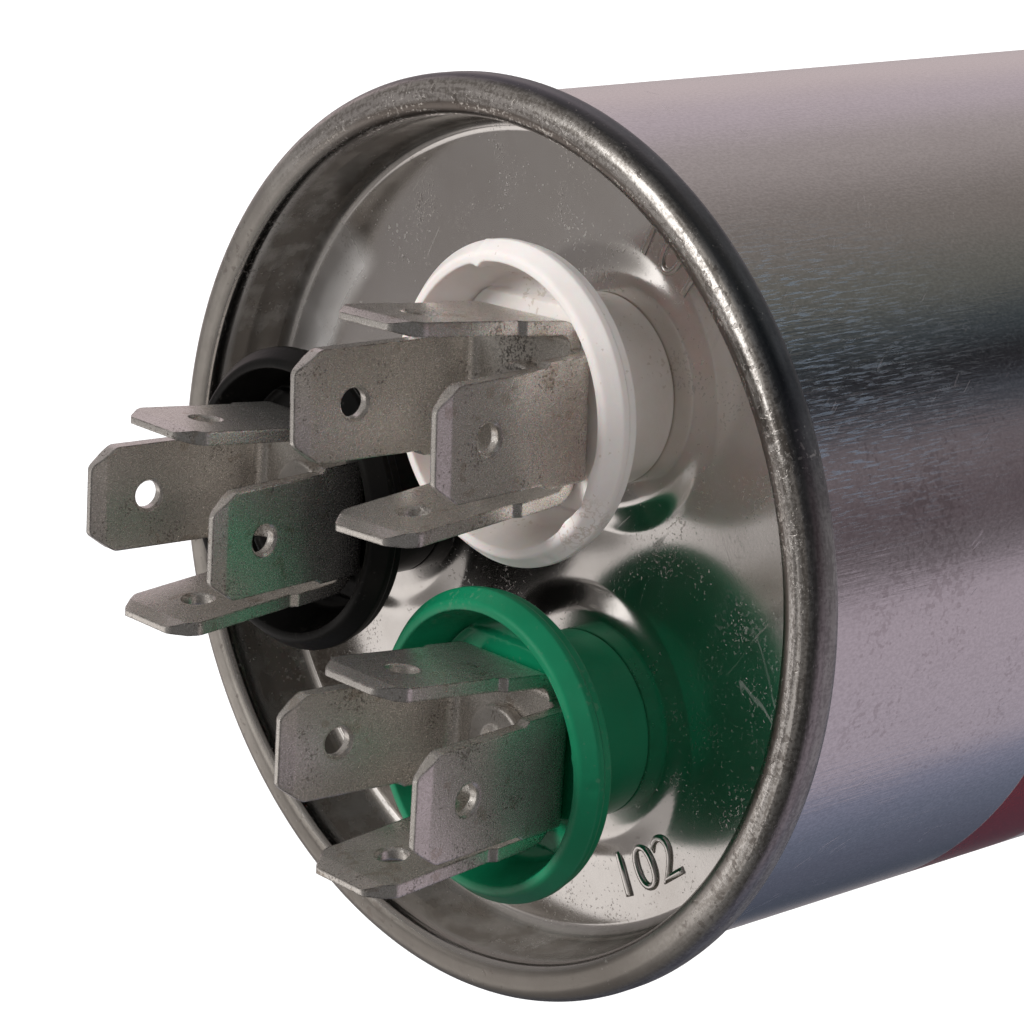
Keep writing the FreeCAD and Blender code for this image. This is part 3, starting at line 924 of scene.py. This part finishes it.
def blade_finish(name, light, dark, roughness):
    """Tinned brass sheet: fine grain under a dull film that scatters light, small brown specks,
    smoother edges painted pale as glints (painted highlight) and darkened in patches, faint rust stains."""
    tree, shader = new_finish(name)
    grain = use(tree, GRAIN, Across=9000.0, Along=9000.0)["Tone"]
    rolled = use(tree, GRAIN, Across=1200.0, Along=6000.0, Detail=4.0)["Tone"]
    cloud = use(tree, GRAIN, Across=330.0, Along=330.0, Detail=4.0)["Tone"]
    spots = use(tree, SPECKS, Scale=6500.0, Limit=0.68, Crowd=0.8)["Mask"]
    stains = use(tree, SPECKS, Scale=900.0, Limit=0.70, Crowd=0.7)["Mask"]
    edges, rounded = use(tree, EDGES, Radius=0.00018)
    tone = mixed(tree, ranged(tree, cloud, 0.3, 0.7), light, dark)
    tone = mixed(tree, product(tree, ranged(tree, grain, 0.45, 0.65), 0.4), tone, (0.42, 0.39, 0.35))
    tone = mixed(tree, product(tree, spots, 0.6), tone, (0.14, 0.11, 0.09))
    tone = mixed(tree, product(tree, stains, 0.25), tone, (0.30, 0.19, 0.10))
    # Painted highlight: the edges are painted pale, as glints along them.
    tone = mixed(tree, product(tree, edges, 0.5), tone, (0.92, 0.90, 0.87))
    # The edges are darkened in patches.
    edge_patch_tone = use(tree, GRAIN, Across=1500.0, Along=1500.0)["Tone"]
    darkened_edge_patches = product(tree, edges, ranged(tree, edge_patch_tone, 0.44, 0.56))
    tone = mixed(tree, product(tree, darkened_edge_patches, 0.75), tone, (0.12, 0.10, 0.08))
    scribble = use(tree, GRAIN, Across=6500.0, Along=6500.0)["Tone"]
    smudged = product(tree, near_point(tree, SMUDGE, 2.6), ranged(tree, scribble, 0.50, 0.58))
    tone = mixed(tree, product(tree, smudged, 0.75), tone, (0.05, 0.045, 0.04))
    rusted = product(tree, near_point(tree, RUST, 1.1), ranged(tree, scribble, 0.44, 0.54))
    tone = mixed(tree, product(tree, rusted, 0.7), tone, (0.33, 0.19, 0.08))
    put(tree, shader["Base Color"], tone)
    film = ranged(tree, cloud, 0.3, 0.7, DULL_FILM, DULL_FILM * 1.5)
    film = computed(tree, "SUBTRACT", film, product(tree, edges, DULL_FILM))
    put(tree, shader["Metallic"], computed(tree, "SUBTRACT", 1.0, film, clamp=True))
    rough = total(tree, roughness, product(tree, grain, 0.14))
    rough = computed(tree, "SUBTRACT", rough, product(tree, edges, 0.10))
    put(tree, shader["Roughness"], rough)
    height = total(tree, product(tree, rolled, 0.5), grain)
    height = computed(tree, "SUBTRACT", height, product(tree, spots, 0.8))
    put(tree, shader["Normal"], bumped(tree, height, 0.000009, normal=rounded))


def plain_finish(name, light, dark, roughness, across, along, depth, **constants):
    """A material of the inside: two tones by a grain, the same grain as relief, and specks. The
    grain has one scale across the can and one along it, and its depth is in metres."""
    tree, shader = new_finish(name, **constants)
    grain = use(tree, GRAIN, Across=across, Along=along)["Tone"]
    spots = use(tree, SPECKS, Scale=1800.0, Limit=0.68, Crowd=0.4)["Mask"]
    tone = mixed(tree, ranged(tree, grain, 0.35, 0.65), light, dark)
    put(tree, shader["Base Color"], mixed(tree, product(tree, spots, 0.3), tone, dark))
    put(tree, shader["Roughness"], total(tree, roughness, product(tree, grain, 0.15)))
    put(tree, shader["Normal"], bumped(tree, grain, depth))


def make_finishes():
    can_finish()
    cover_finish()
    moulded_finish(
        "insulator_white",
        (0.80, 0.755, 0.725),
        (0.74, 0.69, 0.655),
        (0.45, 0.36, 0.28),
        0.24,
        neck_shade=0.4,
        Subsurface_Weight=0.25,
        Subsurface_Scale=0.001,
    )
    moulded_finish(
        "insulator_green", (0.006, 0.19, 0.088), (0.004, 0.16, 0.072), (0.08, 0.20, 0.12), 0.26
    )
    moulded_finish(
        "insulator_black",
        (0.008, 0.0075, 0.007),
        (0.005, 0.005, 0.005),
        (0.05, 0.046, 0.042),
        0.26,
        Specular_IOR_Level=0.12,
    )
    blade_finish("blade_metal", (0.82, 0.785, 0.745), (0.72, 0.685, 0.645), 0.21)
    blade_finish("stud_metal", (0.70, 0.67, 0.64), (0.58, 0.55, 0.52), 0.18)
    plain_finish("gasket_rubber", (0.03, 0.03, 0.03), (0.018, 0.018, 0.018), 0.6, 2500.0, 2500.0, 0.00003)
    plain_finish("inner_washer", (0.42, 0.26, 0.13), (0.30, 0.17, 0.08), 0.45, 900.0, 4000.0, 0.00002)
    plain_finish(
        "lead_copper", (0.74, 0.67, 0.58), (0.60, 0.50, 0.40), 0.22, 1500.0, 1500.0, 0.00001, Metallic=1.0
    )
    plain_finish("interrupter_board", (0.40, 0.24, 0.12), (0.28, 0.16, 0.075), 0.42, 1200.0, 5000.0, 0.00002)
    plain_finish("liner_plastic", (0.72, 0.72, 0.68), (0.62, 0.61, 0.56), 0.38, 800.0, 800.0, 0.00002)
    plain_finish("film_roll", (0.72, 0.73, 0.75), (0.55, 0.56, 0.58), 0.20, 300.0, 9000.0, 0.00002)
    plain_finish("barrier_film", (0.85, 0.83, 0.74), (0.74, 0.70, 0.58), 0.22, 900.0, 300.0, 0.00001)
    plain_finish("core_plastic", (0.80, 0.80, 0.78), (0.70, 0.70, 0.67), 0.36, 900.0, 200.0, 0.00001)
    plain_finish(
        "zinc_spray", (0.48, 0.49, 0.50), (0.30, 0.31, 0.32), 0.55, 2600.0, 2600.0, 0.00012, Metallic=1.0
    )
    plain_finish("wrap_film", (0.86, 0.84, 0.74), (0.76, 0.72, 0.60), 0.20, 250.0, 60.0, 0.00001)


def dress_frame_nodes():
    """The nodes that stay from the frame get the material of their record slot."""
    for row in frame["record"]["subparts"]:
        node = frame["nodes"][row["node"]]
        material = FINISHES[row["material_slot"]]
        if not node.material_slots:
            node.data.materials.append(material)
        for slot in node.material_slots:
            slot.material = material


# Studio

# Camera fitted to the photo: its place in mm, its three directions, and its lens in mm
CAMERA_PLACE = (56.02, -139.18, 226.38)
CAMERA_RIGHT = (0.05961, -0.67333, -0.73693)
CAMERA_DOWN = (-0.95986, -0.24135, 0.14288)
CAMERA_AHEAD = (-0.27406, 0.69884, -0.66069)
CAMERA_LENS = 120.96


def make_camera():
    data = bpy.data.cameras.new("studio_camera")
    data.sensor_width = 36.0
    data.lens = CAMERA_LENS
    data.clip_start = 0.005
    data.clip_end = 20.0
    camera = bpy.data.objects.new("studio_camera", data)
    columns = [Vector(CAMERA_RIGHT), -Vector(CAMERA_DOWN), -Vector(CAMERA_AHEAD)]
    turn = Matrix([v.normalized() for v in columns]).transposed()
    camera.matrix_world = Matrix.Translation(Vector(CAMERA_PLACE) * MM) @ turn.to_4x4()
    bpy.context.scene.collection.objects.link(camera)
    bpy.context.scene.camera = camera


# Soft grey cards of the tent that only reflections see. Each ring of them is a list of
# azimuths in degrees and colours, with a smooth change from one to the next.
LOWER_CARDS = [
    (-180, (0.12, 0.135, 0.185)),
    (-164, (0.19, 0.20, 0.275)),
    (-153, (0.38, 0.33, 0.38)),
    (-108, (0.40, 0.34, 0.385)),
    (-94, (0.14, 0.12, 0.13)),
    (-85, (0.105, 0.082, 0.09)),
    (-67, (0.16, 0.135, 0.145)),
    (-55, (0.055, 0.062, 0.075)),
    (-46, (0.014, 0.012, 0.013)),
    (-36, (0.045, 0.056, 0.064)),
    (-22, (0.125, 0.125, 0.112)),
    (0, (0.20, 0.177, 0.163)),
    (30, (0.36, 0.315, 0.31)),
    (50, (0.475, 0.405, 0.44)),
    (75, (0.555, 0.47, 0.475)),
    (120, (0.42, 0.38, 0.38)),
    (145, (0.06, 0.07, 0.095)),
    (165, (0.09, 0.098, 0.135)),
]
MIDDLE_CARDS = [
    (-180, (0.13, 0.125, 0.12)),
    (-140, (0.06, 0.058, 0.056)),
    (-60, (0.055, 0.055, 0.058)),
    (-25, (0.16, 0.16, 0.16)),
    (0, (0.12, 0.115, 0.11)),
    (50, (0.21, 0.195, 0.185)),
    (104, (0.19, 0.175, 0.17)),
    (165, (0.22, 0.205, 0.195)),
]
SOFT_LIGHT = (0.28, 0.277, 0.284)
ABOVE = (0.11, 0.103, 0.098)
SOFTBOX = (1.35, 1.31, 1.27)
SOFTBOX_SIDE = (0.34, 0.32, 0.30)
BRIGHT_CARD = (0.86, 0.817, 0.787)
SIDE_CARD = (0.38, 0.36, 0.345)
LIGHT_OFF_METAL = (0.75, 0.74, 0.74)
TENT_RADIUS = 10000.0
LAMP_TARGET = (0.0, 0.0, 0.08)
FLOOR_HALF = 6.0


def band_ramp(tree, azimuth, bands):
    """Colours round the horizon: azimuth from -180 to 180 degrees, read off a smooth ramp."""
    place = total(tree, computed(tree, "DIVIDE", azimuth, 360.0), 0.5)
    node = tree.nodes.new("ShaderNodeValToRGB")
    put(tree, node.inputs[0], place)
    ramp = node.color_ramp
    ramp.interpolation = "EASE"
    stops = [((degrees + 180.0) / 360.0, colour) for degrees, colour in bands]
    stops.append((1.0, bands[0][1]))
    while len(ramp.elements) < len(stops):
        ramp.elements.new(0.5)
    for element, (position, colour) in zip(ramp.elements, stops):
        element.position = position
        element.color = (*colour, 1.0)
    return node.outputs["Color"]


def make_world():
    """White behind everything, also for rays that glass or metal sends past the tent, and soft
    even light for the surfaces."""
    world = bpy.data.worlds.new("studio_world")
    world.use_nodes = True
    world.cycles.sampling_method = "NONE"
    bpy.context.scene.world = world
    tree = world.node_tree
    tree.nodes.clear()
    light_path = tree.nodes.new("ShaderNodeLightPath").outputs
    seen = computed(tree, "MAXIMUM", light_path["Is Camera Ray"], light_path["Is Transmission Ray"])
    seen = computed(tree, "MAXIMUM", seen, light_path["Is Glossy Ray"])
    background = tree.nodes.new("ShaderNodeBackground")
    put(tree, background.inputs["Color"], mixed(tree, seen, SOFT_LIGHT, (1.0, 1.0, 1.0)))
    output = tree.nodes.new("ShaderNodeOutputWorld")
    tree.links.new(background.outputs[0], output.inputs["Surface"])


def make_tent():
    """A tent of soft cards round the set, seen only in reflections: rings of grey cards below
    and at mid height, a dim ceiling, a low bright card with a dimmer one above it, and a softbox
    high up with a dimmer border. The surface is a sphere: (R cos b, R sin b) turned about the
    upright axis. Light that goes by way of the metal to a matt surface is even instead."""
    rise = np.radians(np.linspace(-90.0, 90.0, 37))
    line = np.stack([TENT_RADIUS * np.cos(rise), TENT_RADIUS * np.sin(rise)], 1)
    tent = revolved("studio_tent", line, TENT_COLUMNS)
    for ray in ("camera", "diffuse", "transmission", "volume_scatter", "shadow"):
        setattr(tent, "visible_" + ray, False)
    material = bpy.data.materials.new("studio_tent_look")
    material.use_nodes = True
    material.cycles.emission_sampling = "NONE"
    tree = material.node_tree
    tree.nodes.clear()
    x, y, z = apart(tree, object_place(tree))
    azimuth = computed(tree, "DEGREES", computed(tree, "ARCTAN2", y, x))
    height = computed(tree, "DIVIDE", z, TENT_RADIUS * MM)
    elevation = computed(tree, "DEGREES", computed(tree, "ARCSINE", height))

    def card(sides, ends, soft):
        across = band_mask(tree, azimuth, *sides, soft)
        return product(tree, across, band_mask(tree, elevation, *ends, soft))

    lower = band_ramp(tree, azimuth, LOWER_CARDS)
    middle = band_ramp(tree, azimuth, MIDDLE_CARDS)
    colour = mixed(tree, ranged(tree, elevation, -12.0, 8.0), lower, middle)
    colour = mixed(tree, ranged(tree, elevation, 44.0, 56.0), colour, ABOVE)
    colour = mixed(tree, card((125.0, 182.0), (43.0, 74.0), 12.0), colour, SIDE_CARD)
    colour = mixed(tree, card((109.8, 140.0), (10.0, 44.8), 1.2), colour, BRIGHT_CARD)
    colour = mixed(tree, card((-20.0, 110.0), (46.0, 82.0), 14.0), colour, SOFTBOX_SIDE)
    colour = mixed(tree, card((28.0, 102.0), (52.0, 77.0), 8.0), colour, SOFTBOX)
    onto_matt = tree.nodes.new("ShaderNodeLightPath").outputs["Diffuse Depth"]
    colour = mixed(tree, ranged(tree, onto_matt, 0.2, 0.8), colour, LIGHT_OFF_METAL)
    emission = tree.nodes.new("ShaderNodeEmission")
    put(tree, emission.inputs["Color"], colour)
    output = tree.nodes.new("ShaderNodeOutputMaterial")
    tree.links.new(emission.outputs[0], output.inputs["Surface"])
    tent.data.materials.append(material)


def make_lamp(name, place, size, power):
    """Square softbox that faces the object, in metres and watts; its own mirror image is left
    to the tent's cards."""
    data = bpy.data.lights.new(name, "AREA")
    data.shape = "SQUARE"
    data.size = size
    data.energy = power
    lamp = bpy.data.objects.new(name, data)
    lamp.location = Vector(place)
    lamp.rotation_mode = "QUATERNION"
    lamp.rotation_quaternion = (Vector(LAMP_TARGET) - Vector(place)).to_track_quat("-Z", "Y")
    lamp.visible_glossy = False
    bpy.context.scene.collection.objects.link(lamp)


def make_floor():
    """A wide pale floor that keeps the object's soft shadow: part of its white is its own, and
    the rest is the light that falls on it. Reflections pass it and meet the tent's cards."""
    mesh = bpy.data.meshes.new("studio_floor")
    half = FLOOR_HALF
    corners = [(-half, -half, 0.0), (half, -half, 0.0), (half, half, 0.0), (-half, half, 0.0)]
    mesh.from_pydata(corners, [], [(0, 1, 2, 3)])
    floor = bpy.data.objects.new("studio_floor", mesh)
    bpy.context.scene.collection.objects.link(floor)
    floor.visible_glossy = False
    material = bpy.data.materials.new("studio_floor_look")
    material.use_nodes = True
    tree = material.node_tree
    shader = tree.nodes["Principled BSDF"].inputs
    shader["Roughness"].default_value = 0.9
    shader["Specular IOR Level"].default_value = 0.0
    camera_ray = tree.nodes.new("ShaderNodeLightPath").outputs["Is Camera Ray"]
    tone = noise(tree, object_place(tree), 3.0, 2.0)
    base = mixed(tree, tone, (0.80, 0.80, 0.80), (0.81, 0.81, 0.81))
    put(tree, shader["Base Color"], base)
    put(tree, shader["Emission Color"], (1.0, 1.0, 1.0, 1.0))
    put(tree, shader["Emission Strength"], product(tree, camera_ray, 0.35))
    mesh.materials.append(material)


make_finishes()
dress_frame_nodes()
make_cover()
make_can()
for terminal in TERMINALS:
    make_dish(terminal)
    make_stud_head(terminal)
for numeral in NUMERALS:
    make_numeral(*numeral)

make_camera()
make_world()
make_floor()
make_tent()
make_lamp("key_softbox", place=(0.34, 0.42, 0.80), size=0.4, power=8.6)
make_lamp("fill_softbox", place=(0.35, -0.65, 0.35), size=0.6, power=1.5)

bpy.context.scene.view_settings.view_transform = "Standard"
